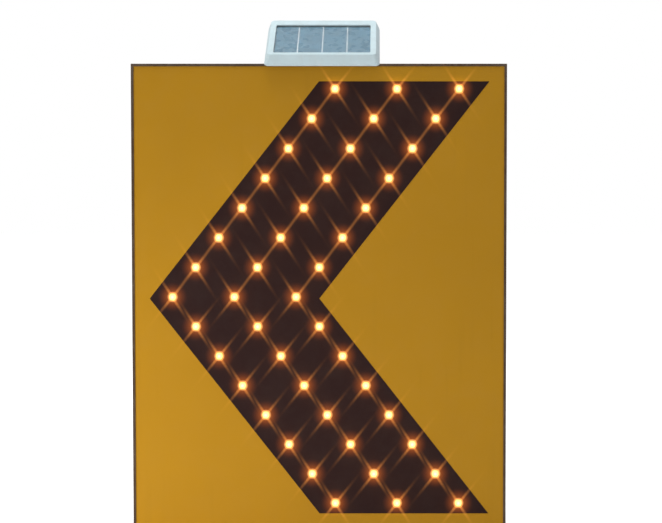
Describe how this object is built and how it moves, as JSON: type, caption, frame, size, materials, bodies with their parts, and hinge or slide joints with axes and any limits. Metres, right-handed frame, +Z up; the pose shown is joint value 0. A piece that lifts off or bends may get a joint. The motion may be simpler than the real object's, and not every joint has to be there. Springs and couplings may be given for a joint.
{
  "type": "solar chevron alignment sign",
  "caption": "Framed yellow board with a lit black chevron pointing left, a tilting solar panel on top, and a control box and post clamps behind.",
  "frame": {"origin": "on the post's axis, half way up the lower post clamp", "axes": "+X to the viewer's right along the board, +Y from the face to the back, +Z up along the post"},
  "size_m": [0.6, 0.1546, 0.8315],
  "materials": {
    "frame_metal": "dark bronze powder coat, satin",
    "plate_aluminium": "mill finish",
    "yellow_sheeting": "fine-grained retroreflective yellow film",
    "black_sheeting": "matt brown-black film",
    "cover_metal": "brushed, lightly weathered",
    "seal_rubber": "soft black foam rubber",
    "fastener_steel": "zinc plated",
    "rail_aluminium": "extruded, satin",
    "clamp_steel": "hot-dip galvanised",
    "lamp_black": "moulded black plastic",
    "lamp_amber": "clear amber lens, lit",
    "led_phosphor": "yellow phosphor on a white body",
    "circuit_green": "solder mask",
    "connector_white": "moulded connector",
    "solar_shell": "pale moulded plastic, dusty",
    "solar_glass": "clear tempered glass",
    "solar_silicon": "blue-grey silicon cells",
    "ribbon_tin": "tinned copper ribbon",
    "backsheet_white": "white laminate",
    "black_plastic": "moulded black plastic",
    "box_plastic": "light grey moulded plastic",
    "lock_metal": "die-cast, plated",
    "battery_wrap": "blue shrink sleeve",
    "rocker_red": "red moulded rocker"
  },
  "bodies": {
    "root": {"frame_top": "frame_metal", "frame_bottom": "frame_metal", "frame_left": "frame_metal", "frame_right": "frame_metal", "corner_keys": "plate_aluminium", "face_plate": "plate_aluminium", "yellow_film": "yellow_sheeting", "chevron_film": "black_sheeting", "back_cover": "cover_metal", "back_cover_seal": "seal_rubber", "cover_screws": "fastener_steel", "lamp_bezels": "lamp_black", "lamp_lenses": "lamp_amber", "lamp_nuts": "lamp_black", "led_chips": "led_phosphor", "led_strips_upper": "circuit_green", "led_strips_lower": "circuit_green", "strip_standoffs": "plate_aluminium", "strip_screws": "fastener_steel", "strip_connectors": "connector_white", "rail_upper": "rail_aluminium", "rail_lower": "rail_aluminium", "rail_backings": "plate_aluminium", "rail_bolts": "fastener_steel", "clamp_saddle_upper": "clamp_steel", "clamp_saddle_lower": "clamp_steel", "clamp_strap_upper": "clamp_steel", "clamp_strap_lower": "clamp_steel", "clamp_bolts": "fastener_steel", "clamp_washers": "fastener_steel", "clamp_nuts": "fastener_steel", "tilt_bracket_left": "clamp_steel", "tilt_bracket_right": "clamp_steel", "bracket_screws": "fastener_steel", "control_box": "box_plastic", "lid_hinge_pins": "fastener_steel", "battery_holder": "black_plastic", "battery_cells": "battery_wrap", "control_board": "circuit_green", "board_parts": "connector_white", "switch_body": "black_plastic", "cable_gland": "black_plastic"},
    "solar_panel": {"panel_lugs": "clamp_steel", "solar_screws": "fastener_steel", "pivot_bolts": "fastener_steel", "pivot_washers": "black_plastic", "solar_housing": "solar_shell", "solar_glass": "solar_glass", "solar_cells": "solar_silicon", "cell_ribbons": "ribbon_tin", "solar_backsheet": "backsheet_white", "solar_back_cover": "solar_shell", "junction_box": "black_plastic"},
    "tilt_knob_left": {"tilt_knob_left": "black_plastic"},
    "tilt_knob_right": {"tilt_knob_right": "black_plastic"},
    "control_lid": {"control_lid": "box_plastic", "lid_seal": "seal_rubber", "lock_body": "lock_metal"},
    "lid_lock": {"lock_cam": "lock_metal"},
    "switch_rocker": {"switch_rocker": "rocker_red"}
  },
  "joints": [
    {"name": "solar_tilt", "type": "hinge", "parent": "root", "child": "solar_panel", "pos_m": [0.005, -0.05405, 0.589], "axis": [-1, 0, 0], "range_deg": [0, 35]},
    {"name": "left_knob_turn", "type": "hinge", "parent": "solar_panel", "child": "tilt_knob_left", "pos_m": [-0.064, -0.05405, 0.589], "axis": [-1, 0, 0], "range_deg": [0, 270]},
    {"name": "right_knob_turn", "type": "hinge", "parent": "solar_panel", "child": "tilt_knob_right", "pos_m": [0.074, -0.05405, 0.589], "axis": [1, 0, 0], "range_deg": [0, 270]},
    {"name": "lid_swing", "type": "hinge", "parent": "root", "child": "control_lid", "pos_m": [0.165, -0.00955, 0.266], "axis": [1, 0, 0], "range_deg": [0, 110]},
    {"name": "lock_turn", "type": "hinge", "parent": "control_lid", "child": "lid_lock", "pos_m": [0.165, -0.01, 0.14], "axis": [0, 1, 0], "range_deg": [0, 90]},
    {"name": "switch_rock", "type": "hinge", "parent": "root", "child": "switch_rocker", "pos_m": [0.21, -0.03705, 0.124], "axis": [0, 1, 0], "range_deg": [0, 20]}
  ]
}
